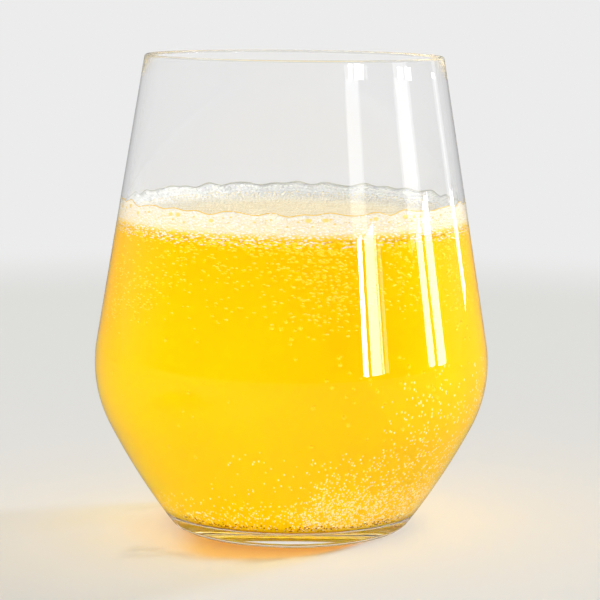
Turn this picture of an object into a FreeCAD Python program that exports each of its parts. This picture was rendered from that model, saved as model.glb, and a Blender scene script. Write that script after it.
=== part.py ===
import FreeCAD, Part
import math
import os

from FreeCAD import Vector

# A stemless tumbler of orange soda: the glass, the drink in it and the foam on the drink.
# Millimetres. +Z is up and the origin is on the table, at the middle of the foot.

# The glass, measured on its outside.
HEIGHT = 110.0          # table to the top of the lip
RIM_RADIUS = 34.5       # mouth
BELLY_RADIUS = 45.9     # widest place
BELLY_HEIGHT = 38.6     # height of the widest place
BELLY_ROUND = 31.0      # bend of the belly, seen in profile
FLANK_ROUND = 158.0     # the long, almost straight bend from the belly to the heel
HEEL_ROUND = 4.1        # bend between the flank and the foot
FOOT_RADIUS = 25.0      # outer edge of the ring that stands on the table
FOOT_RING = 1.5         # width of that ring
PUNT = 0.7              # rise of the hollow under the base

# The glass, measured through.
WALL = 1.3              # side wall, and the diameter of the rounded lip
BASE = 4.5              # from the table to the inner floor
INNER_HEEL = 4.5        # bend between the inner floor and the wall

# The drink and its foam.
SODA_LEVEL = 71.2       # table to the top of the drink
FOAM_MIDDLE = 2.4       # thickness of the foam away from the wall
COLLAR_RISE = 3.3       # how much higher the foam stands against the wall
COLLAR_REACH = 3.6      # distance from the wall over which it climbs
SCALLOPS = (            # bulges of big bubbles along the collar: number, height, first angle
    (13, 0.16, 0.7),
    (23, 0.22, 2.1),
    (31, 0.18, 4.4),
    (41, 0.12, 1.3),
)
RIPPLE_HEIGHT = 0.15    # low mounds in the middle of the foam
RIPPLE_LENGTH = 13.0    # from one mound to the next
FOAM_GRID_STEP = 1.5    # spacing of the points that the foam's top passes through


def out(centre, radius, angle):
    """The profile point at an angle on an arc of the profile."""
    return Vector(centre.x + radius * math.cos(angle), 0.0, centre.z + radius * math.sin(angle))


def angle_between(start, end):
    """The direction from one profile point to another."""
    return math.atan2(end.z - start.z, end.x - start.x)


def meeting_point(first, first_reach, second, second_reach):
    """The point at given distances from two profile points, on the side of the glass's axis."""
    apart = first.distanceToPoint(second)
    along = (first_reach ** 2 - second_reach ** 2 + apart ** 2) / (2.0 * apart)
    across = math.sqrt(first_reach ** 2 - along ** 2)
    direction = (second - first).normalize()
    side = Vector(direction.z, 0.0, -direction.x)
    candidates = [first + direction * along + side * across * sign for sign in (1.0, -1.0)]
    return min(candidates, key=lambda point: point.x)


# Centres of the profile's bends. The inside shares them, with each bend tighter by the wall.
LIP = WALL / 2.0
LIP_CENTRE = Vector(RIM_RADIUS - LIP, 0.0, HEIGHT - LIP)
BELLY_CENTRE = Vector(BELLY_RADIUS - BELLY_ROUND, 0.0, BELLY_HEIGHT)
HEEL_CENTRE = Vector(FOOT_RADIUS, 0.0, HEEL_ROUND)
FLANK_CENTRE = meeting_point(
    BELLY_CENTRE, FLANK_ROUND - BELLY_ROUND, HEEL_CENTRE, FLANK_ROUND - HEEL_ROUND
)

# Directions, from those centres, in which one stretch of the profile runs into the next.
LIP_TO_BELLY = angle_between(BELLY_CENTRE, LIP_CENTRE) - math.acos(
    (BELLY_ROUND - LIP) / BELLY_CENTRE.distanceToPoint(LIP_CENTRE)
)
BELLY_TO_FLANK = angle_between(FLANK_CENTRE, BELLY_CENTRE)
FLANK_TO_HEEL = angle_between(FLANK_CENTRE, HEEL_CENTRE)


def arc(centre, radius, start, end):
    """An arc of the profile between two angles."""
    middle = out(centre, radius, (start + end) / 2.0)
    return Part.Arc(out(centre, radius, start), middle, out(centre, radius, end)).toShape()


def line(start, end):
    return Part.LineSegment(start, end).toShape()


def turned(edges):
    """The solid that a closed profile sweeps round the axis."""
    face = Part.Face(Part.Wire(Part.__sortEdges__(edges)))
    return face.revolve(Vector(0, 0, 0), Vector(0, 0, 1), 360)


def inner_wall():
    """The inside of the glass from the lip down to the middle of its floor, as joined edges."""
    belly = BELLY_ROUND - WALL
    flank = FLANK_ROUND - WALL
    heel_height = BASE + INNER_HEEL
    heel_reach = flank - INNER_HEEL
    heel_across = math.sqrt(heel_reach ** 2 - (heel_height - FLANK_CENTRE.z) ** 2)
    heel_centre = Vector(FLANK_CENTRE.x + heel_across, 0.0, heel_height)
    flank_to_heel = angle_between(FLANK_CENTRE, heel_centre)
    straight = line(
        out(LIP_CENTRE, -LIP, LIP_TO_BELLY),
        out(BELLY_CENTRE, belly, LIP_TO_BELLY),
    )
    floor_edge = out(heel_centre, INNER_HEEL, -math.pi / 2.0)
    return [
        straight,
        arc(BELLY_CENTRE, belly, LIP_TO_BELLY, BELLY_TO_FLANK),
        arc(FLANK_CENTRE, flank, BELLY_TO_FLANK, flank_to_heel),
        arc(heel_centre, INNER_HEEL, flank_to_heel, -math.pi / 2.0),
        line(floor_edge, Vector(0.0, 0.0, BASE)),
    ]


def outer_wall():
    """The outside of the glass from the lip down to the middle of its foot, as joined edges."""
    straight = line(
        out(LIP_CENTRE, LIP, LIP_TO_BELLY),
        out(BELLY_CENTRE, BELLY_ROUND, LIP_TO_BELLY),
    )
    ring_outer = Vector(FOOT_RADIUS, 0.0, 0.0)
    ring_inner = Vector(FOOT_RADIUS - FOOT_RING, 0.0, 0.0)
    dome = (ring_inner.x ** 2 + PUNT ** 2) / (2.0 * PUNT)
    dome_centre = Vector(0.0, 0.0, PUNT - dome)
    return [
        straight,
        arc(BELLY_CENTRE, BELLY_ROUND, LIP_TO_BELLY, BELLY_TO_FLANK),
        arc(FLANK_CENTRE, FLANK_ROUND, BELLY_TO_FLANK, FLANK_TO_HEEL),
        arc(HEEL_CENTRE, HEEL_ROUND, FLANK_TO_HEEL, -math.pi / 2.0),
        line(ring_outer, ring_inner),
        arc(dome_centre, dome, angle_between(dome_centre, ring_inner), math.pi / 2.0),
    ]


def glass():
    """The tumbler: one wall, rounded over at the lip and thicker at the base."""
    lip = arc(LIP_CENTRE, LIP, LIP_TO_BELLY, LIP_TO_BELLY + math.pi)
    axis = line(Vector(0.0, 0.0, PUNT), Vector(0.0, 0.0, BASE))
    return turned(outer_wall() + [axis] + inner_wall() + [lip])


def cavity():
    """The room inside the glass up to where the lip starts to round over."""
    brim = out(LIP_CENTRE, -LIP, LIP_TO_BELLY)
    brim_middle = Vector(0.0, 0.0, brim.z)
    return turned(
        inner_wall() + [line(Vector(0.0, 0.0, BASE), brim_middle), line(brim_middle, brim)]
    )


def slab(low, high):
    """A block wider than the glass between two heights."""
    side = 3.0 * BELLY_RADIUS
    return Part.makeBox(side, side, high - low, Vector(-side / 2.0, -side / 2.0, low))


def soda():
    """The drink: everything in the cavity up to its level."""
    return cavity().common(slab(0.0, SODA_LEVEL))


def radius_at_level():
    """The inner radius of the glass at the top of the drink."""
    waterline = cavity().slice(Vector(0.0, 0.0, 1.0), SODA_LEVEL)[0]
    return waterline.BoundBox.XMax


def foam_height(x, y, wall_radius):
    """The foam's top over a point: low mounds, and a scalloped collar against the wall."""
    angle = math.atan2(y, x)
    from_wall = max(wall_radius - math.hypot(x, y), 0.0)
    climb = math.exp(-((from_wall / COLLAR_REACH) ** 2))
    bulge = sum(size * math.sin(count * angle + first) for count, size, first in SCALLOPS)
    turn = 2.0 * math.pi / RIPPLE_LENGTH
    ripple = RIPPLE_HEIGHT * math.sin(turn * x + math.cos(turn * y)) * math.sin(turn * y)
    return SODA_LEVEL + FOAM_MIDDLE + ripple * (1.0 - climb) + (COLLAR_RISE + bulge) * climb


def foam_head():
    """The foam: the cavity above the drink, cut off by a smooth surface through the heights."""
    wall_radius = radius_at_level()
    steps = math.ceil(wall_radius / FOAM_GRID_STEP) + 1
    places = [FOAM_GRID_STEP * step for step in range(-steps, steps + 1)]
    rows = [[Vector(x, y, foam_height(x, y, wall_radius)) for y in places] for x in places]
    top = Part.BSplineSurface()
    top.interpolate(rows)
    under_top = top.toShape().extrude(Vector(0.0, 0.0, -HEIGHT))
    return cavity().common(slab(SODA_LEVEL, HEIGHT)).common(under_top)


def save(node, shape):
    """Write one piece as parts/NODE.step, as a single clean solid."""
    solids = shape.Solids
    if len(solids) != 1 or not solids[0].isValid():
        raise ValueError(node + " is not one valid solid")
    solids[0].exportStep("parts/" + node + ".step")


os.makedirs("parts", exist_ok=True)
save("glass", glass())
save("soda", soda())
save("foam_head", foam_head())
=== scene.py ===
import functools
import math
import random

import bpy
import numpy as np
from mathutils import Matrix, Vector


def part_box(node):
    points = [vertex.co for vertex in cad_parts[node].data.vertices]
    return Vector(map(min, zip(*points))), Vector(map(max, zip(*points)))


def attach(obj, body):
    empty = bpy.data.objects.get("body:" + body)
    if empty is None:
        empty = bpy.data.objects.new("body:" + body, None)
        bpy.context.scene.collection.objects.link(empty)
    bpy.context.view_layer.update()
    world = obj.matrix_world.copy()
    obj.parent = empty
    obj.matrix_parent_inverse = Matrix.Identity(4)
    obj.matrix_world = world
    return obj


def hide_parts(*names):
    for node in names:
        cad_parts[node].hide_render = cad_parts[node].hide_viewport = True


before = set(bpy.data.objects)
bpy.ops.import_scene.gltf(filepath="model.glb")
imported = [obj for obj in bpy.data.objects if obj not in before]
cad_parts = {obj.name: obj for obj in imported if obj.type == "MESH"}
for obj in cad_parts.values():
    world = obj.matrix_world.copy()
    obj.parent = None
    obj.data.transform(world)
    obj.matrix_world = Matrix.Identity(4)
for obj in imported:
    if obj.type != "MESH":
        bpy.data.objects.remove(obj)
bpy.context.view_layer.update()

# A stemless tumbler of cloudy orange soda with a thin head of foam.
# Metres, +Z up, the foot on z = 0 and the front towards -Y.
MM = 0.001

# ---------------------------------------------------------------- sizes, from the frame
GLASS_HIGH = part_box("glass")[1]
SODA_LOW, SODA_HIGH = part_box("soda")
HEIGHT = GLASS_HIGH.z
BELLY_RADIUS = GLASS_HIGH.x
WALL = GLASS_HIGH.x - SODA_HIGH.x
BASE = SODA_LOW.z
SODA_LEVEL = SODA_HIGH.z

# Bends of the glass's profile, which the boxes don't tell.
RIM_RADIUS = 34.5 * MM
BELLY_HEIGHT = 38.6 * MM
BELLY_ROUND = 31.0 * MM
FLANK_ROUND = 158.0 * MM
HEEL_ROUND = 4.1 * MM
FOOT_RADIUS = 25.0 * MM
FOOT_RING = 1.5 * MM
PUNT = 0.7 * MM
INNER_HEEL = 4.5 * MM

# The foam's top, as the frame has it.
FOAM_MIDDLE = 2.4 * MM
COLLAR_RISE = 3.3 * MM
COLLAR_REACH = 3.6 * MM
SCALLOPS = ((13, 0.16, 0.7), (23, 0.22, 2.1), (31, 0.18, 4.4), (41, 0.12, 1.3))
RIPPLE_HEIGHT = 0.15 * MM
RIPPLE_LENGTH = 13.0 * MM

INTO_WALL = 0.15 * MM    # how far the drink and the foam reach into the glass's side
ON_FLOOR = 0.03 * MM     # hairline between the drink and the glass's floor
CLEAR_HEEL = 0.2 * MM    # height above the floor at which that hairline starts to close

# Steps along the stretches of the profile and round the axis, for clean refraction.
STRAIGHT_STEPS = 12
LIP_STEPS = 14
BELLY_STEPS = 40
FLANK_STEPS = 24
OUTER_HEEL_STEPS = 48
INNER_HEEL_STEPS = 40
DOME_STEPS = 24
SEGMENTS = 256


# ---------------------------------------------------------------- profile of the glass
def out(centre, radius, angle):
    """The (radius, height) point at an angle on a bend of the profile."""
    return centre + radius * Vector((math.cos(angle), math.sin(angle)))


def direction(start, end):
    """The angle of the line from one profile point to another."""
    return math.atan2(end.y - start.y, end.x - start.x)


def meeting_point(first, first_reach, second, second_reach):
    """The point at given distances from two profile points, on the side of the axis."""
    apart = (second - first).length
    along = (first_reach ** 2 - second_reach ** 2 + apart ** 2) / (2.0 * apart)
    across = math.sqrt(first_reach ** 2 - along ** 2)
    ahead = (second - first).normalized()
    side = Vector((ahead.y, -ahead.x))
    candidates = [first + ahead * along + side * across * sign for sign in (1.0, -1.0)]
    return min(candidates, key=lambda point: point.x)


LIP = WALL / 2.0
LIP_CENTRE = Vector((RIM_RADIUS - LIP, HEIGHT - LIP))
BELLY_CENTRE = Vector((BELLY_RADIUS - BELLY_ROUND, BELLY_HEIGHT))
HEEL_CENTRE = Vector((FOOT_RADIUS, HEEL_ROUND))
FLANK_CENTRE = meeting_point(
    BELLY_CENTRE, FLANK_ROUND - BELLY_ROUND, HEEL_CENTRE, FLANK_ROUND - HEEL_ROUND
)
LIP_TO_BELLY = direction(BELLY_CENTRE, LIP_CENTRE) - math.acos(
    (BELLY_ROUND - LIP) / (LIP_CENTRE - BELLY_CENTRE).length
)
BELLY_TO_FLANK = direction(FLANK_CENTRE, BELLY_CENTRE)
FLANK_TO_HEEL = direction(FLANK_CENTRE, HEEL_CENTRE)


def arc(centre, radius, start, end, steps):
    """Points along a bend, from one angle to another."""
    turns = [start + (end - start) * step / steps for step in range(steps + 1)]
    return [out(centre, radius, turn) for turn in turns]


def straight(start, end, steps):
    """Points along a straight stretch."""
    return [start.lerp(end, step / steps) for step in range(steps + 1)]


def inner_wall(into=0.0):
    """The inside of the glass from the lip to the middle of its floor, moved into the wall."""
    through = WALL - into
    belly = BELLY_ROUND - through
    flank = FLANK_ROUND - through
    heel = INNER_HEEL + into
    heel_height = BASE + INNER_HEEL
    reach = FLANK_ROUND - WALL - INNER_HEEL
    across = math.sqrt(reach ** 2 - (heel_height - FLANK_CENTRE.y) ** 2)
    heel_centre = Vector((FLANK_CENTRE.x + across, heel_height))
    flank_to_heel = direction(FLANK_CENTRE, heel_centre)
    lip_side = out(LIP_CENTRE, into - LIP, LIP_TO_BELLY)
    points = straight(lip_side, out(BELLY_CENTRE, belly, LIP_TO_BELLY), STRAIGHT_STEPS)
    points += arc(BELLY_CENTRE, belly, LIP_TO_BELLY, BELLY_TO_FLANK, BELLY_STEPS)[1:]
    points += arc(FLANK_CENTRE, flank, BELLY_TO_FLANK, flank_to_heel, FLANK_STEPS)[1:]
    points += arc(heel_centre, heel, flank_to_heel, -math.pi / 2.0, INNER_HEEL_STEPS)[1:]
    points += straight(points[-1], Vector((0.0, points[-1].y)), STRAIGHT_STEPS)[1:]
    return points


def outer_wall():
    """The outside of the glass from the lip to the middle of its foot."""
    ring_inner = Vector((FOOT_RADIUS - FOOT_RING, 0.0))
    dome = (ring_inner.x ** 2 + PUNT ** 2) / (2.0 * PUNT)
    dome_centre = Vector((0.0, PUNT - dome))
    lip_side = out(LIP_CENTRE, LIP, LIP_TO_BELLY)
    points = straight(lip_side, out(BELLY_CENTRE, BELLY_ROUND, LIP_TO_BELLY), STRAIGHT_STEPS)
    points += arc(BELLY_CENTRE, BELLY_ROUND, LIP_TO_BELLY, BELLY_TO_FLANK, BELLY_STEPS)[1:]
    points += arc(FLANK_CENTRE, FLANK_ROUND, BELLY_TO_FLANK, FLANK_TO_HEEL, FLANK_STEPS)[1:]
    points += arc(HEEL_CENTRE, HEEL_ROUND, FLANK_TO_HEEL, -math.pi / 2.0, OUTER_HEEL_STEPS)[1:]
    points += [ring_inner]
    dome_start = direction(dome_centre, ring_inner)
    points += arc(dome_centre, dome, dome_start, math.pi / 2.0, DOME_STEPS)[1:]
    return points


@functools.cache
def rising_wall(into):
    """Heights and radii up the inside of the glass, from just above its flat floor."""
    points = [point for point in inner_wall(into)[::-1] if point.y > BASE + 0.01 * MM]
    return np.array([point.y for point in points]), np.array([point.x for point in points])


def wall_radius(height, into=0.0):
    """The radius of the inside of the glass at a height above its flat floor."""
    heights, radii = rising_wall(into)
    return float(np.interp(height, heights, radii))


# ---------------------------------------------------------------- making meshes
def new_piece(name, vertices, faces, material):
    """A smooth mesh in the frame's own space, riding on the one body."""
    mesh = bpy.data.meshes.new(name)
    mesh.from_pydata(vertices, [], faces)
    mesh.polygons.foreach_set("use_smooth", [True] * len(faces))
    mesh.materials.append(material)
    mesh.update()
    piece = bpy.data.objects.new(name, mesh)
    bpy.context.scene.collection.objects.link(piece)
    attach(piece, "root")
    return piece


def mark(piece, label, numbers):
    """Give each vertex of a piece a number that its material can read."""
    layer = piece.data.attributes.new(label, "FLOAT", "POINT")
    layer.data.foreach_set("value", np.asarray(numbers, dtype=np.float32))


def lathe(points, closed):
    """Vertices and faces of a profile turned round the axis; a point on the axis stays one vertex."""
    vertices = []
    rings = []
    for point in points:
        if point.x < 1e-7:
            rings.append([len(vertices)] * SEGMENTS)
            vertices.append((0.0, 0.0, point.y))
            continue
        rings.append(range(len(vertices), len(vertices) + SEGMENTS))
        for step in range(SEGMENTS):
            angle = 2.0 * math.pi * step / SEGMENTS
            vertices.append((point.x * math.cos(angle), point.x * math.sin(angle), point.y))
    faces = []
    pairs = list(zip(rings, rings[1:]))
    if closed:
        pairs.append((rings[-1], rings[0]))
    for upper, lower in pairs:
        for step in range(SEGMENTS):
            after = (step + 1) % SEGMENTS
            corners = [upper[step], lower[step], lower[after], upper[after]]
            face = list(dict.fromkeys(corners))
            if len(face) > 2:
                faces.append(face)
    return vertices, faces


def bubble_shape(rings, around):
    """A dome of size one, closed below: its corners, its triangles and how near the rim each is."""
    corners = [(0.0, 0.0, 1.0)]
    rims = [0.0]
    for ring in range(1, rings + 1):
        lean = math.pi / 2.0 * ring / rings
        for step in range(around):
            turn = 2.0 * math.pi * (step + 0.5 * (ring % 2)) / around
            across = math.sin(lean)
            corners.append((across * math.cos(turn), across * math.sin(turn), math.cos(lean)))
            rims.append(ring / rings)
    corners.append((0.0, 0.0, -0.5))
    rims.append(1.0)
    triangles = []
    for step in range(around):
        after = (step + 1) % around
        triangles.append((0, 1 + step, 1 + after))
        for ring in range(rings - 1):
            outer = 1 + (ring + 1) * around
            inner = 1 + ring * around
            triangles.append((inner + step, outer + step, outer + after))
            triangles.append((inner + step, outer + after, inner + after))
        last = 1 + (rings - 1) * around
        triangles.append((len(corners) - 1, last + after, last + step))
    return np.array(corners), np.array(triangles), np.array(rims)


def bubbles(name, places, material, rings=2, around=7):
    """Many bubbles as one mesh. A place is a middle, three directions, three sizes and a tone."""
    corners, triangles, rims = bubble_shape(rings, around)
    middles = np.array([place[0] for place in places])
    axes = np.array([place[1:4] for place in places])
    sizes = np.array([place[4] for place in places])
    tones = np.array([place[5] for place in places])
    stretched = corners[None, :, :] * sizes[:, None, :]
    vertices = middles[:, None, :] + np.einsum("bci,bij->bcj", stretched, axes)
    faces = triangles[None, :, :] + (np.arange(len(places)) * len(corners))[:, None, None]
    piece = new_piece(name, vertices.reshape(-1, 3), faces.reshape(-1, 3), material)
    values = {
        "rim": np.tile(rims, len(places)),
        "top": np.tile(0.5 + 0.5 * corners[:, 1], len(places)),
        "side": np.tile(0.5 + 0.5 * corners[:, 0], len(places)),
        "tone": np.repeat(tones, len(corners)),
    }
    for label, numbers in values.items():
        mark(piece, label, numbers)


# ---------------------------------------------------------------- materials
def linear(hex_colour):
    """An sRGB colour such as "ffcc00" as the linear colour that a socket takes."""
    parts = [int(hex_colour[place:place + 2], 16) / 255.0 for place in (0, 2, 4)]
    straightened = [
        part / 12.92 if part <= 0.04045 else ((part + 0.055) / 1.055) ** 2.4 for part in parts
    ]
    return (*straightened, 1.0)


def add(tree, kind, settings=None, **inputs):
    """Add one node. An input is a value or another node's output, and _2 is the input numbered 2."""
    made = tree.nodes.new("ShaderNode" + kind)
    for setting, value in (settings or {}).items():
        setattr(made, setting, value)
    for name, value in inputs.items():
        label = int(name[1:]) if name[0] == "_" else name.replace("_", " ")
        socket = made.inputs[label]
        if isinstance(value, bpy.types.NodeSocket):
            tree.links.new(value, socket)
        else:
            socket.default_value = value
    return made


def set_ramp(ramp, stops):
    """Colour stops from pairs of a position and an sRGB hex colour, the two ends first."""
    for place, (position, colour) in enumerate(stops):
        stop = ramp.elements[place] if place < 2 else ramp.elements.new(position)
        stop.position = position
        stop.color = linear(colour)


def new_material(name):
    """An empty node material and its tree."""
    material = bpy.data.materials.new(name)
    material.use_nodes = True
    material.node_tree.nodes.clear()
    return material, material.node_tree


def clear_glass():
    """Blown soda-lime glass: colourless and fire-polished, so every edge bends the light cleanly.

    Faint draw waves make its mirrored windows quiver. Light passes straight to what is inside.
    """
    material, tree = new_material("blown_soda_lime_glass")
    place = add(tree, "TexCoord")
    draw = add(tree, "TexNoise", Vector=place.outputs["Object"], Scale=1.0 / (16.67 * MM), Detail=1.0)
    waves = add(tree, "Bump", Strength=0.008, Distance=0.2 * MM, Height=draw.outputs["Fac"])
    glass = add(
        tree, "BsdfGlass", Color=linear("ffffff"), Roughness=0.0, IOR=1.5,
        Normal=waves.outputs["Normal"],
    )
    through = add(tree, "BsdfTransparent", Color=linear("f8f8f8"))
    path = add(tree, "LightPath")
    both = add(
        tree, "MixShader", _0=path.outputs["Is Shadow Ray"],
        _1=glass.outputs["BSDF"], _2=through.outputs["BSDF"],
    )
    add(tree, "OutputMaterial", Surface=both.outputs["Shader"])
    return material


def cloudy_soda():
    """Cloudy orange soda: pulp and oil scatter light in it, so it glows evenly, in places deeper. Its
    colour is also painted lighter towards the bottom, as painted light on the less lit lower part.
    """
    material, tree = new_material("cloudy_orange_soda")
    place = add(tree, "TexCoord")
    apart = add(tree, "SeparateXYZ", Vector=place.outputs["Object"])
    # Painted light: the colour is lighter towards the bottom of the drink, standing in for light its
    # lower part lacks.
    level = add(
        tree, "MapRange", Value=apart.outputs["Z"], From_Max=SODA_LEVEL, To_Min=0.15, To_Max=0.85,
    )
    clouds = add(tree, "TexNoise", Vector=place.outputs["Object"], Scale=1.0 / (45.0 * MM), Detail=3.0)
    depth = add(
        tree, "MapRange", Value=clouds.outputs["Fac"],
        From_Min=0.3, From_Max=0.7, To_Min=-0.15, To_Max=0.15,
    )
    share = add(
        tree, "Math", {"operation": "ADD"}, _0=level.outputs["Result"], _1=depth.outputs["Result"],
    )
    colour = add(tree, "ValToRGB", Fac=share.outputs["Value"])
    set_ramp(colour.color_ramp, ((0.0, "ffd800"), (1.0, "ffc600")))
    body = add(
        tree, "BsdfPrincipled", Base_Color=colour.outputs["Color"], Roughness=0.3,
        Specular_IOR_Level=0.0, IOR=1.34, Subsurface_Weight=1.0,
        Subsurface_Radius=(1.0, 0.9, 0.3), Subsurface_Scale=2.0 * MM,
    )
    # Light that leaves low in the drink falls deep orange on the table, paler away from the lamp.
    leaving = add(tree, "MapRange", Value=apart.outputs["Z"], From_Max=40.0 * MM)
    beside = add(
        tree, "MapRange", Value=apart.outputs["X"],
        From_Min=-8.0 * MM, From_Max=-24.0 * MM, To_Max=0.05,
    )
    paler = add(
        tree, "Math", {"operation": "ADD"}, _0=leaving.outputs["Result"], _1=beside.outputs["Result"],
    )
    tint = add(tree, "ValToRGB", Fac=paler.outputs["Value"])
    set_ramp(tint.color_ramp, (
        (0.105, "e08a00"), (0.9, "cfcfcf"),
        (0.125, "eaa63c"), (0.145, "e8cdb0"), (0.19, "e0dcd4"), (0.4, "dfddd9"),
    ))
    strong = add(tree, "VectorMath", {"operation": "SCALE"}, _0=tint.outputs["Color"], Scale=1.6)
    glow = add(tree, "BsdfTransparent", Color=strong.outputs["Vector"])
    path = add(tree, "LightPath")
    both = add(
        tree, "MixShader", _0=path.outputs["Is Shadow Ray"],
        _1=body.outputs["BSDF"], _2=glow.outputs["BSDF"],
    )
    add(tree, "OutputMaterial", Surface=both.outputs["Shader"])
    return material


def froth():
    """Fine soda froth, the body of the foam.

    Its cells scatter all light: peach-tinged in the thin middle, nearly white by the wall, and on its
    side from the drink's yellow at the bottom to cream at the top.
    """
    material, tree = new_material("fine_soda_froth")
    place = add(tree, "TexCoord")
    apart = add(tree, "SeparateXYZ", Vector=place.outputs["Object"])
    across = add(tree, "CombineXYZ", X=apart.outputs["X"], Y=apart.outputs["Y"])
    reach = add(tree, "VectorMath", {"operation": "LENGTH"}, _0=across.outputs["Vector"])
    share = add(
        tree, "MapRange", Value=reach.outputs["Value"], From_Min=16.0 * MM, From_Max=36.0 * MM,
    )
    thickness = add(tree, "ValToRGB", Fac=share.outputs["Result"])
    set_ramp(thickness.color_ramp, (
        (0.0, "fce8b4"), (1.0, "f9f9f3"), (0.5, "fcf0d0"), (0.88, "fbf6e6"),
    ))
    rise = add(
        tree, "MapRange", Value=apart.outputs["Z"],
        From_Min=SODA_LEVEL, From_Max=SODA_LEVEL + FOAM_MIDDLE + COLLAR_RISE,
    )
    side = add(tree, "ValToRGB", Fac=rise.outputs["Result"])
    set_ramp(side.color_ramp, ((0.0, "ffcc00"), (1.0, "f7efdc"), (0.14, "ffd63c"), (0.32, "f7e8c0")))
    shape = add(tree, "NewGeometry")
    facing = add(tree, "SeparateXYZ", Vector=shape.outputs["True Normal"])
    upward = add(tree, "MapRange", Value=facing.outputs["Z"], From_Min=0.3, From_Max=0.5)
    colour = add(
        tree, "Mix", {"data_type": "RGBA"}, _0=upward.outputs["Result"],
        _6=side.outputs["Color"], _7=thickness.outputs["Color"],
    )
    cells = add(tree, "TexVoronoi", Vector=place.outputs["Object"], Scale=1.0 / (0.7 * MM))
    relief = add(tree, "Bump", Strength=0.4, Distance=0.15 * MM, Height=cells.outputs["Distance"])
    body = add(
        tree, "BsdfPrincipled", Base_Color=colour.outputs[2], Roughness=0.5,
        Subsurface_Weight=0.5, Subsurface_Radius=(1.0, 0.9, 0.6), Subsurface_Scale=1.2 * MM,
        Normal=relief.outputs["Normal"],
    )
    add(tree, "OutputMaterial", Surface=body.outputs["BSDF"])
    return material


def bubble_skin(name, measure, stops, clear=False):
    """The wet, glossy film of a bubble, with painted highlight and painted shade along it: a ramp over
    the measure paints it paler where it would mirror light and deeper where it would bend it away.

    The measure is rim, top or side. A clear bubble lets light past and casts no shadow.
    """
    material, tree = new_material(name)
    value = add(tree, "Attribute", {"attribute_name": measure})
    tone = add(tree, "Attribute", {"attribute_name": "tone"})
    moved = add(tree, "Math", {"operation": "ADD"}, _0=value.outputs["Fac"], _1=tone.outputs["Fac"])
    colour = add(tree, "ValToRGB", Fac=moved.outputs["Value"])
    set_ramp(colour.color_ramp, stops)
    body = add(tree, "BsdfPrincipled", Base_Color=colour.outputs["Color"], Roughness=0.25, IOR=1.33)
    shader = body.outputs["BSDF"]
    if clear:
        through = add(tree, "BsdfTransparent", Color=linear("fefcf4"))
        path = add(tree, "LightPath")
        both = add(
            tree, "MixShader", _0=path.outputs["Is Shadow Ray"],
            _1=shader, _2=through.outputs["BSDF"],
        )
        shader = both.outputs["Shader"]
    add(tree, "OutputMaterial", Surface=shader)
    return material


# ---------------------------------------------------------------- glass and drink
def tumbler():
    """The glass, with the frame's profile turned finely enough for clean refraction."""
    lip = arc(LIP_CENTRE, LIP, LIP_TO_BELLY + math.pi, LIP_TO_BELLY, LIP_STEPS)[1:-1]
    points = outer_wall() + inner_wall()[::-1] + lip
    vertices, faces = lathe(points, closed=True)
    piece = new_piece("tumbler", vertices, faces, clear_glass())
    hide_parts("glass")


def drink():
    """The soda, reaching just into the wall; it only lies on the floor, so the base stays clear."""
    reaching = inner_wall(INTO_WALL)
    resting = inner_wall(-ON_FLOOR)
    points = [Vector((0.0, SODA_LEVEL)), Vector((wall_radius(SODA_LEVEL, INTO_WALL), SODA_LEVEL))]
    for inside, on in zip(reaching, resting):
        if inside.y < SODA_LEVEL:
            share = min(max((inside.y - BASE - CLEAR_HEEL) / (2.0 * CLEAR_HEEL), 0.0), 1.0)
            points.append(on.lerp(inside, share))
    vertices, faces = lathe(points, closed=False)
    piece = new_piece("drink", vertices, faces, cloudy_soda())
    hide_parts("soda")


# ---------------------------------------------------------------- foam
FOAM_SEGMENTS = 360
FOAM_RINGS = 60             # rings from the wall to the middle, over the top
FOAM_SINK = 0.3 * MM        # how far the foam's body reaches down into the drink
SIDE_RINGS = (0.0, 0.3, 0.93, 1.0)    # rings up the side, as shares of its height

# Fine cells on the wall, in millimetres.
FINE_TOP = 0.45             # from the film down to the highest
FINE_BOTTOM = 1.3           # from the level of the drink down to the lowest
FINE_ZONE = 6.9             # height that their rows fill
FINE_WIDE = 0.78            # width of the highest
FINE_SHRINK = 0.16          # how much narrower the lowest are
FINE_SIZES = (0.6, 0.8, 1.0, 1.15)

# Wide cells: how far below the film, how many, and the half width of the widest, in millimetres.
WIDE_ROWS = ((1.3, 76, 0.95), (2.3, 50, 0.45))
WIDE_SIZES = (0.35, 0.45, 0.6, 1.0)

# Bubbles on the top of the foam.
TOP_START = 1.7 * MM        # from the wall to the outermost ones
TOP_SMALL = 0.85 * MM       # width in the middle
TOP_WIDER = 1.1 * MM        # how much wider they would be at the wall itself
TOP_FADE = 1.6 * MM         # distance over which that fades
COLLAR_WIDTH = 3.2 * MM     # distance from the wall that the collar's pale ones fill
PALE_WIDTH = 18.0 * MM      # distance from the wall over which the others' tone falls

# The line where the film meets the wall.
FILM_THICK = 0.14 * MM      # half its thickness
FILM_STEPS = 720
FILM_SIDES = 6


def bulge(angle):
    """How far the collar of big bubbles stands above or below its mean height at an angle."""
    return MM * sum(size * math.sin(count * angle + first) for count, size, first in SCALLOPS)


def film_height(angle):
    """Where the film of the uppermost bubbles meets the wall, at an angle from the front."""
    return SODA_LEVEL + FOAM_MIDDLE + COLLAR_RISE + bulge(angle - math.pi / 2.0)


def foam_height(x, y, rim):
    """The top of the foam's body: low mounds, and a scalloped collar against the wall."""
    from_wall = max(rim - math.hypot(x, y), 0.0)
    climb = math.exp(-((from_wall / COLLAR_REACH) ** 2))
    rise = COLLAR_RISE + bulge(math.atan2(y, x))
    turn = 2.0 * math.pi / RIPPLE_LENGTH
    ripple = RIPPLE_HEIGHT * math.sin(turn * x + math.cos(turn * y)) * math.sin(turn * y)
    return SODA_LEVEL + FOAM_MIDDLE + ripple * (1.0 - climb) + rise * climb


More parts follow.
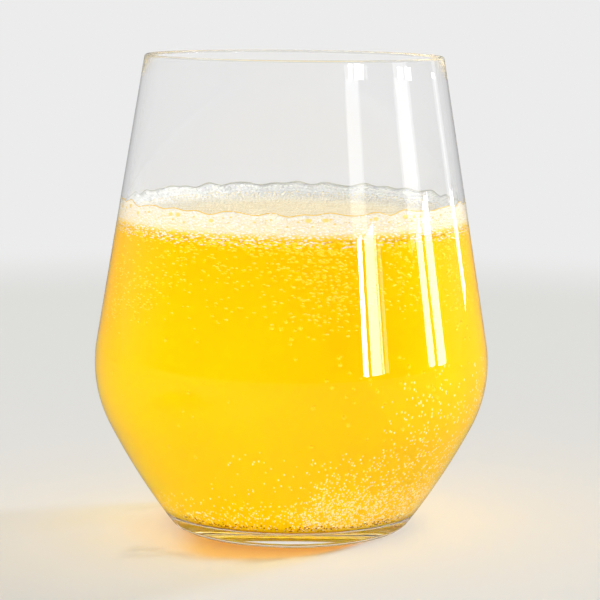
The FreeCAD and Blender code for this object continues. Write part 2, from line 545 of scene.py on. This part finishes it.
def foam_core():
    """The body of the foam: up its side, which follows the wall, and over its top to the middle."""
    rim = wall_radius(SODA_LEVEL)
    bottom = SODA_LEVEL - FOAM_SINK
    outside = wall_radius(bottom, INTO_WALL)
    turns = [2.0 * math.pi * step / FOAM_SEGMENTS for step in range(FOAM_SEGMENTS)]
    vertices = [(0.0, 0.0, bottom)]
    for share in SIDE_RINGS:
        for turn in turns:
            top = foam_height(rim * math.cos(turn), rim * math.sin(turn), rim)
            level = bottom + (top - bottom) * share
            radius = outside - (level - bottom) * math.tan(LIP_TO_BELLY)
            vertices.append((radius * math.cos(turn), radius * math.sin(turn), level))
    for step in range(2, FOAM_RINGS):
        reach = rim * (1.0 - step / FOAM_RINGS)
        for turn in turns:
            x = reach * math.cos(turn)
            y = reach * math.sin(turn)
            vertices.append((x, y, foam_height(x, y, rim)))
    vertices.append((0.0, 0.0, foam_height(0.0, 0.0, rim)))
    last = len(vertices) - 1
    rings = [[0] * FOAM_SEGMENTS]
    rings += [range(first, first + FOAM_SEGMENTS) for first in range(1, last, FOAM_SEGMENTS)]
    rings.append([last] * FOAM_SEGMENTS)
    faces = []
    for lower, upper in zip(rings, rings[1:]):
        for step in range(FOAM_SEGMENTS):
            after = (step + 1) % FOAM_SEGMENTS
            corners = [lower[step], lower[after], upper[after], upper[step]]
            faces.append(list(dict.fromkeys(corners)))
    piece = new_piece("foam_core", vertices, faces, froth())
    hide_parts("foam_head")


def at_wall(angle, height, into):
    """A place on the inside of the glass: its point and the directions along, up and out.

    The angle is in radians round from the front.
    """
    rise = 0.5 * MM
    radius = wall_radius(height) + into
    widening = wall_radius(height + rise) - wall_radius(height - rise)
    slope = Vector((widening, 2.0 * rise)).normalized()
    outward = Vector((math.sin(angle), -math.cos(angle), 0.0))
    along = Vector((math.cos(angle), math.sin(angle), 0.0))
    up = outward * slope.x + Vector((0.0, 0.0, slope.y))
    out_of_wall = outward * slope.y - Vector((0.0, 0.0, slope.x))
    return outward * radius + Vector((0.0, 0.0, height)), along, up, out_of_wall


def foam_side():
    """Fine cells of the foam pressed against the wall, smaller and sparser towards the drink."""
    chance = random.Random(11)
    rim = wall_radius(SODA_LEVEL)
    fine = []
    share = 0.0
    while share < 1.0:
        across = (FINE_WIDE - FINE_SHRINK * share) * MM
        number = round(2.0 * math.pi * rim / across)
        for step in range(number):
            if chance.random() < 1.25 * (share - 0.47):
                continue
            angle = 2.0 * math.pi * (step + chance.uniform(-0.4, 0.4)) / number
            top = film_height(angle) - FINE_TOP * MM
            bottom = SODA_LEVEL - FINE_BOTTOM * MM + 0.6 * bulge(3.0 * angle)
            height = top + (bottom - top) * (share + chance.uniform(-0.035, 0.035))
            size = 0.5 * across * chance.choice(FINE_SIZES)
            place = at_wall(angle, height, 0.05 * MM)
            flat = 0.9 - 0.4 * share
            sizes = (size * (1.0 + 0.45 * share), size * flat, 0.3 * MM)
            tone = chance.uniform(-0.2, 0.3) - 0.55 * max(share - 0.45, 0.0)
            fine.append((*place, sizes, tone))
        share += 0.74 * across / (FINE_ZONE * MM)
    # Painted shade: each cell is near white at its top and yellower and darker at its bottom.
    skin = bubble_skin(
        "foam_cell_painted_shade", "top",
        ((0.0, "f2e0ac"), (1.0, "fdfcf8"), (0.3, "f6ecd2"), (0.55, "faf5ea")),
    )
    bubbles("foam_side", fine, skin)
    wide_cells(chance)


def wide_cells(chance):
    """A few wide cells, yellow inside, in two rows under the film."""
    wide = []
    for below, number, largest in WIDE_ROWS:
        for step in range(number):
            angle = 2.0 * math.pi * (step + chance.uniform(-0.45, 0.45)) / number
            size = largest * chance.choice(WIDE_SIZES) * MM
            height = film_height(angle) - (below + chance.uniform(-0.2, 0.2)) * MM
            place = at_wall(angle, height, 0.1 * MM)
            sizes = (size, 0.62 * size, 0.32 * MM)
            wide.append((*place, sizes, chance.uniform(-0.1, 0.15)))
    # Painted reflection: each cell pales from a yellow middle to a near-white rim.
    skin = bubble_skin(
        "wide_cell_painted_rim", "rim",
        ((0.0, "f6d97c"), (1.0, "fffdf6"), (0.5, "f7de90"), (0.8, "fff8e6")),
    )
    bubbles("wide_foam_cells", wide, skin, rings=4, around=12)


def on_foam(x, y, rim, sink):
    """A place on the top of the foam: its point and the directions along, up and out."""
    step = 0.1 * MM
    height = foam_height(x, y, rim)
    lean_x = (foam_height(x + step, y, rim) - height) / step
    lean_y = (foam_height(x, y + step, rim) - height) / step
    outward = Vector((-lean_x, -lean_y, 1.0)).normalized()
    along = Vector((-y, x, 0.0)).normalized()
    return Vector((x, y, height)) - outward * sink, along, outward.cross(along), outward


def foam_top():
    """Bubbles over the top of the foam, small in the middle, with pale bigger ones up the collar."""
    chance = random.Random(12)
    rim = wall_radius(SODA_LEVEL)
    middle = []
    collar = []
    reach = rim - TOP_START
    while reach > 0.5 * MM:
        from_wall = rim - reach
        across = TOP_SMALL + TOP_WIDER * math.exp(-from_wall / TOP_FADE)
        number = max(round(2.0 * math.pi * reach / across), 3)
        for step in range(number):
            angle = 2.0 * math.pi * (step + chance.uniform(-0.4, 0.4)) / number
            radius = reach + chance.uniform(-0.2, 0.2) * across
            size = 0.5 * across * chance.uniform(0.65, 1.2)
            place = on_foam(radius * math.cos(angle), radius * math.sin(angle), rim, 0.15 * size)
            edge = 1.0 - min(from_wall / PALE_WIDTH, 1.0)
            if from_wall < COLLAR_WIDTH:
                collar.append((*place, (size, size, 0.4 * size), chance.uniform(-0.1, 0.1)))
            else:
                middle.append((*place, (size, size, 0.6 * size), 0.45 * edge - 0.05))
        reach -= 0.85 * across
    # Painted reflection: each bubble on the top of the foam, and more faintly each on the collar, is
    # paler towards its rim.
    skin = bubble_skin(
        "foam_top_painted_rim", "rim",
        ((0.0, "fae2a6"), (1.0, "fffbf2"), (0.4, "fceec6"), (0.75, "fdf7e4")),
    )
    bubbles("foam_top", middle, skin, rings=2, around=6)
    skin = bubble_skin("collar_painted_rim", "rim", ((0.0, "f3f4f0"), (1.0, "fdfbf4"), (0.6, "f8f8f2")))
    bubbles("collar_bubbles", collar, skin, rings=3, around=10)


def waterline():
    """The line where the uppermost film meets the wall, amber from outside and grey from inside."""
    vertices = []
    faces = []
    outside = []
    for step in range(FILM_STEPS):
        angle = 2.0 * math.pi * step / FILM_STEPS
        point, along, up, outward = at_wall(angle, film_height(angle), 0.06 * MM)
        here = step * FILM_SIDES
        ahead = (step + 1) % FILM_STEPS * FILM_SIDES
        for side in range(FILM_SIDES):
            turn = 2.0 * math.pi * side / FILM_SIDES
            shift = outward * FILM_THICK * math.cos(turn) + up * FILM_THICK * math.sin(turn)
            vertices.append(point + shift)
            outside.append(0.5 + 0.5 * math.cos(turn))
            after = (side + 1) % FILM_SIDES
            faces.append((here + side, ahead + side, ahead + after, here + after))
    skin = bubble_skin("waterline_skin", "rim", ((0.3, "c6c6be"), (0.6, "f6d264")))
    piece = new_piece("waterline", vertices, faces, skin)
    mark(piece, "rim", outside)


# ---------------------------------------------------------------- bubbles on the wall
# Patches of small bubbles that cling to the wall: from and to in degrees round from the front,
# low and high in millimetres, number, and how much they crowd to the top (+) or bottom (-).
HIGH_PATCHES = (
    (-82, -48, 51, 62, 150, 0.0),
    (-74, -68, 47, 68, 90, 0.0),
    (-56, -40, 54, 68, 90, 0.0),
    (-88, 88, 67, 71, 600, 2.0),
    (-40, 20, 50, 71, 330, 1.3),
    (0, 20, 50, 69, 200, 0.3),
    (26, 44, 53, 71, 210, 0.4),
    (50, 85, 52, 71, 360, 0.4),
)
LOW_PATCHES = (
    (5, 90, 5.3, 15, 1500, -0.7),
    (10, 90, 10, 25, 900, -0.6),
    (28, 90, 22, 43, 360, -0.4),
    (-80, 12, 5.3, 13, 420, -0.8),
    (-25, 20, 8, 26, 130, -0.5),
)
LONE_PATCHES = (
    (-1, 5, 46, 56, 9, 0.0),
    (15, 18, 38, 48, 8, 0.0),
    (20, 45, 36, 46, 16, 0.0),
    (44, 70, 36, 52, 12, 0.0),
    (-45, 40, 22, 40, 16, 0.0),
    (-70, -20, 30, 60, 10, 0.0),
)
AMBER_PATCHES = (
    (-52, 50, 5.2, 6.6, 150, -0.3),
)
BRIGHT_PATCHES = (
    (-50, -30, 6.8, 8.4, 6, 0.0),
    (5, 60, 5.6, 7.7, 14, 0.0),
)
FAR_SIDE = 173       # degrees from each patch to the one like it on the far side
SOFT_EDGE = 4.0      # degrees over which a patch thins out at its sides

# Half width, half height and depth of the bubbles of each kind.
HIGH_SIZE = (0.48 * MM, 0.3 * MM, 0.1 * MM)
LOW_SIZE = (0.21 * MM, 0.29 * MM, 0.13 * MM)
LONE_SIZE = (0.45 * MM, 0.45 * MM, 0.3 * MM)
AMBER_SIZE = (0.25 * MM, 0.2 * MM, 0.2 * MM)
BRIGHT_SIZE = (0.4 * MM, 0.32 * MM, 0.3 * MM)


def crowded(share, crowd):
    """An even share from 0 to 1, moved towards 1 where crowd is above 0 and towards 0 below it."""
    if crowd > 0:
        return share ** (1.0 / (1.0 + crowd))
    return 1.0 - (1.0 - share) ** (1.0 / (1.0 - crowd))


def clinging(chance, patches, half_sizes):
    """Places of bubbles on the wall in the given patches and in the same ones on the far side."""
    wide, tall, deep = half_sizes
    places = []
    for start, end, low, high, number, crowd in patches:
        for side in (0, FAR_SIDE):
            for _ in range(number):
                degrees = chance.uniform(start, end) + side + chance.gauss(0.0, SOFT_EDGE)
                height = (low + (high - low) * crowded(chance.random(), crowd)) * MM
                size = chance.uniform(0.7, 1.3)
                place = at_wall(math.radians(degrees), height, INTO_WALL - 0.05 * MM)
                sizes = (wide * size, tall * size, deep)
                places.append((*place, sizes, chance.uniform(-0.18, 0.12)))
    return places


def small_bubbles():
    """Bubbles on the wall: round ones high up, slim ones low down, and a few bigger on their own."""
    chance = random.Random(14)
    high = clinging(chance, HIGH_PATCHES, HIGH_SIZE)
    # Painted highlight: each high bubble is pale yellow on top and deeper yellow below.
    skin = bubble_skin(
        "high_bubble_painted_glint", "top",
        ((0.0, "ffd000"), (1.0, "ffe884"), (0.3, "ffcf00"), (0.5, "ffd41c"), (0.78, "ffdd4c")),
        clear=True,
    )
    bubbles("high_bubbles", high, skin, rings=2, around=7)
    low = clinging(chance, LOW_PATCHES, LOW_SIZE)
    # Painted highlight: each low bubble is near white on one side and deep yellow on the other.
    skin = bubble_skin(
        "low_bubble_painted_glint", "side",
        ((0.0, "fffdf0"), (1.0, "f8c400"), (0.35, "fff4c0"), (0.65, "ffe050")),
        clear=True,
    )
    bubbles("low_bubbles", low, skin, rings=2, around=6)
    lone = clinging(chance, LONE_PATCHES, LONE_SIZE)
    # Painted shade: each lone bubble is light yellow below and deeper amber on top.
    skin = bubble_skin(
        "lone_bubble_painted_shade", "top",
        ((0.0, "ffe040"), (1.0, "f2b000"), (0.2, "ffdc30"), (0.7, "ffcc00"), (0.9, "fbc200")),
        clear=True,
    )
    bubbles("lone_bubbles", lone, skin, rings=4, around=12)


def heel_bubbles():
    """Bubbles along the bend of the floor, painted dark amber as painted shade, with a few above them
    painted bright as painted highlight.
    """
    chance = random.Random(15)
    dark = clinging(chance, AMBER_PATCHES, AMBER_SIZE)
    # Painted shade: these bubbles are dark amber in the middle and lighter at the rim.
    skin = bubble_skin(
        "amber_bubble_painted_shade", "rim", ((0.0, "8a5200"), (1.0, "ffc400"), (0.5, "b87800")),
    )
    bubbles("amber_bubbles", dark, skin, rings=3, around=8)
    bright = clinging(chance, BRIGHT_PATCHES, BRIGHT_SIZE)
    # Painted highlight: these bubbles are pale in the middle and deeper yellow at the rim.
    skin = bubble_skin(
        "bright_bubble_painted_glint", "rim", ((0.0, "fffce0"), (1.0, "ffd030"), (0.6, "fff090")),
    )
    bubbles("bright_bubbles", bright, skin, rings=3, around=8)


# ---------------------------------------------------------------- stage, lamps, camera
FLOOR_REACH = 60.0


def pale_floor():
    """A matt painted table top that turns, away from the middle, into an evenly pale backdrop.

    The glass mirrors it darker, so that its edges stay drawn against the pale surroundings.
    """
    material, tree = new_material("matt_pale_floor")
    place = add(tree, "TexCoord")
    spread = add(tree, "VectorMath", {"operation": "LENGTH"}, _0=place.outputs["Object"])
    path = add(tree, "LightPath")
    mirrored = add(
        tree, "Math", {"operation": "GREATER_THAN"}, _0=path.outputs["Is Glossy Ray"],
        _1=path.outputs["Is Transmission Ray"],
    )
    dimmed = add(
        tree, "Mix", {"data_type": "RGBA"}, _0=mirrored.outputs["Value"],
        _6=linear("dadad7"), _7=linear("8a8987"),
    )
    near = add(tree, "BsdfDiffuse", Color=dimmed.outputs[2])
    far_strength = add(tree, "MapRange", Value=mirrored.outputs["Value"], To_Min=1.0, To_Max=0.25)
    far = add(tree, "Emission", Color=linear("ececec"), Strength=far_strength.outputs["Result"])
    share = add(
        tree, "MapRange", {"interpolation_type": "SMOOTHSTEP"}, Value=spread.outputs["Value"],
        From_Min=0.38, From_Max=0.56,
    )
    both = add(
        tree, "MixShader", _0=share.outputs["Result"],
        _1=near.outputs["BSDF"], _2=far.outputs["Emission"],
    )
    add(tree, "OutputMaterial", Surface=both.outputs["Shader"])
    return material


def floor():
    """A plain square, far wider than the camera sees."""
    reach = FLOOR_REACH
    corners = [(-reach, -reach, 0.0), (reach, -reach, 0.0), (reach, reach, 0.0), (-reach, reach, 0.0)]
    mesh = bpy.data.meshes.new("floor")
    mesh.from_pydata(corners, [], [(0, 1, 2, 3)])
    mesh.materials.append(pale_floor())
    piece = bpy.data.objects.new("floor", mesh)
    bpy.context.scene.collection.objects.link(piece)
    return piece


ROOM_LIGHT = 0.30       # strength of the even light from all round
ROOM_SEEN = 0.84        # the room as seen, straight or through the glass
FRONT_MIRRORED = 0.05   # the room in front, as the glass mirrors it
BACK_MIRRORED = 0.30    # the room behind, as the glass mirrors it


def daylight():
    """Even pale light from all round; seen straight or through the glass it is a pale wall."""
    world = bpy.data.worlds.new("pale_room")
    bpy.context.scene.world = world
    world.use_nodes = True
    tree = world.node_tree
    tree.nodes.clear()
    path = add(tree, "LightPath")
    place = add(tree, "TexCoord")
    apart = add(tree, "SeparateXYZ", Vector=place.outputs["Generated"])
    around = add(
        tree, "MapRange", Value=apart.outputs["Y"],
        From_Min=-0.2, From_Max=0.5, To_Min=FRONT_MIRRORED, To_Max=BACK_MIRRORED,
    )
    overhead = add(
        tree, "MapRange", {"interpolation_type": "SMOOTHSTEP"}, Value=apart.outputs["Z"],
        From_Min=0.5, From_Max=0.8, To_Min=around.outputs["Result"], To_Max=ROOM_SEEN,
    )
    mirrored = add(
        tree, "Mix", {"data_type": "FLOAT"}, _0=path.outputs["Is Glossy Ray"],
        _2=ROOM_LIGHT, _3=overhead.outputs["Result"],
    )
    seen = add(
        tree, "Math", {"operation": "MAXIMUM"}, _0=path.outputs["Is Camera Ray"],
        _1=path.outputs["Is Transmission Ray"],
    )
    strength = add(
        tree, "Mix", {"data_type": "FLOAT"}, _0=seen.outputs["Value"],
        _2=mirrored.outputs[0], _3=ROOM_SEEN,
    )
    sky = add(tree, "Background", Color=linear("ffffff"), Strength=strength.outputs[0])
    add(tree, "OutputWorld", Surface=sky.outputs["Background"])


LAMP_DISTANCE = 2.5
LAMP_WATTS = 4.0    # watts of a square metre of lamp at brightness 1

# Name, degrees round the glass from the front, width in degrees,
# lowest and highest edge in metres, brightness.
PANES = (
    ("front_pane", 43.0, 3.0, 0.18, 0.55, 22.0),
    ("second_pane", 49.6, 6.4, 0.18, 0.54, 11.0),
    ("narrow_pane", 53.8, 1.0, 0.20, 0.52, 9.0),
    ("faint_pane", 56.4, 2.0, 0.22, 0.50, 2.0),
    ("side_pane", 88.0, 5.0, 0.14, 0.38, 10.0),
    ("far_side_pane", 96.6, 7.0, 0.10, 0.36, 9.0),
    ("back_pane", 131.0, 5.2, 0.02, 0.15, 5.0),
    ("front_pane_above", 43.8, 10.5, 0.55, 1.05, 1.5),
    ("side_pane_above", 87.6, 14.5, 0.38, 1.05, 1.7),
    ("back_pane_above", 131.0, 6.0, 0.15, 1.05, 0.6),
)
SOFT_LAMPS = (
    ("key", 122.5, 9.0, 0.95, 1.40, 95.0),
    ("left_fill", -88.0, 60.0, 0.02, 0.9, 4.2),
    ("right_fill", 76.0, 50.0, 0.0, 0.5, 4.4),
    ("front_fill", -8.0, 70.0, 0.02, 0.9, 3.8),
)
SUN_STRENGTH = 5.7
SUN_WIDTH = 9.0     # degrees, as wide as the key lamp, so the shadow's edge is as soft


def lamp(name, around, spread, low, high, brightness, only_mirrored=False):
    """A flat lamp that faces the glass: a soft light, or a pane that shows only as a reflection."""
    width = 2.0 * LAMP_DISTANCE * math.tan(math.radians(spread / 2.0))
    light = bpy.data.lights.new(name, "AREA")
    light.shape = "RECTANGLE"
    light.size = width
    light.size_y = high - low
    light.energy = brightness * LAMP_WATTS * width * (high - low)
    turn = math.radians(around)
    made = bpy.data.objects.new(name, light)
    made.location = (
        LAMP_DISTANCE * math.sin(turn), -LAMP_DISTANCE * math.cos(turn), (low + high) / 2.0
    )
    away = made.location - Vector((0.0, 0.0, HEIGHT / 2.0))
    made.rotation_euler = away.to_track_quat("Z", "Y").to_euler()
    made.visible_camera = False
    made.visible_diffuse = not only_mirrored
    made.visible_glossy = only_mirrored
    made.visible_transmission = only_mirrored
    bpy.context.scene.collection.objects.link(made)
    return made


def shine_on(pieces, lamps, name):
    """Let lamps light only the given pieces, as flags and cards do in a studio."""
    lit = bpy.data.collections.new(name)
    for piece in pieces:
        lit.objects.link(piece)
    for made in lamps:
        made.light_linking.receiver_collection = lit


def windows(table):
    """Panes that draw the long bright lines on the glass, lamps for the drink, a sun for the table."""
    for pane in PANES:
        lamp(*pane, only_mirrored=True)
    soft = [lamp(*measures) for measures in SOFT_LAMPS]
    light = bpy.data.lights.new("sun_on_floor", "SUN")
    light.energy = SUN_STRENGTH
    light.angle = math.radians(SUN_WIDTH)
    sun = bpy.data.objects.new("sun_on_floor", light)
    sun.rotation_euler = soft[0].rotation_euler
    bpy.context.scene.collection.objects.link(sun)
    served = [piece for piece in bpy.data.objects if piece.type == "MESH" and piece != table]
    shine_on([table], [sun], "floor_light")
    shine_on(served, soft, "drink_light")


CAMERA_DISTANCE = 538.6 * MM
CAMERA_HEIGHT = 129.0 * MM
LENS = 139.7        # focal length in millimetres, on a sensor this wide
SENSOR = 36.0
LOOK_DOWN = 8.03    # degrees
LOOK_RIGHT = 0.2
TILT = 0.626


def camera():
    """A long lens in front of the glass, a little above its rim."""
    data = bpy.data.cameras.new("camera")
    data.lens = LENS
    data.sensor_width = SENSOR
    eye = bpy.data.objects.new("camera", data)
    turn = Matrix.Rotation(math.radians(-LOOK_RIGHT), 4, "Z")
    pitch = Matrix.Rotation(math.radians(90.0 - LOOK_DOWN), 4, "X")
    roll = Matrix.Rotation(math.radians(TILT), 4, "Z")
    place = Matrix.Translation((0.0, -CAMERA_DISTANCE, CAMERA_HEIGHT))
    eye.matrix_world = place @ turn @ pitch @ roll
    bpy.context.scene.collection.objects.link(eye)
    bpy.context.scene.camera = eye


tumbler()
drink()
foam_core()
foam_side()
foam_top()
waterline()
small_bubbles()
heel_bubbles()
daylight()
windows(floor())
camera()

scene = bpy.context.scene
scene.view_settings.view_transform = "Standard"
# Light runs along inside the glass wall and base, so it may be mirrored many times.
scene.cycles.max_bounces = 96
scene.cycles.glossy_bounces = 96
scene.cycles.transmission_bounces = 48
scene.cycles.transparent_max_bounces = 32

bpy.context.view_layer.update()
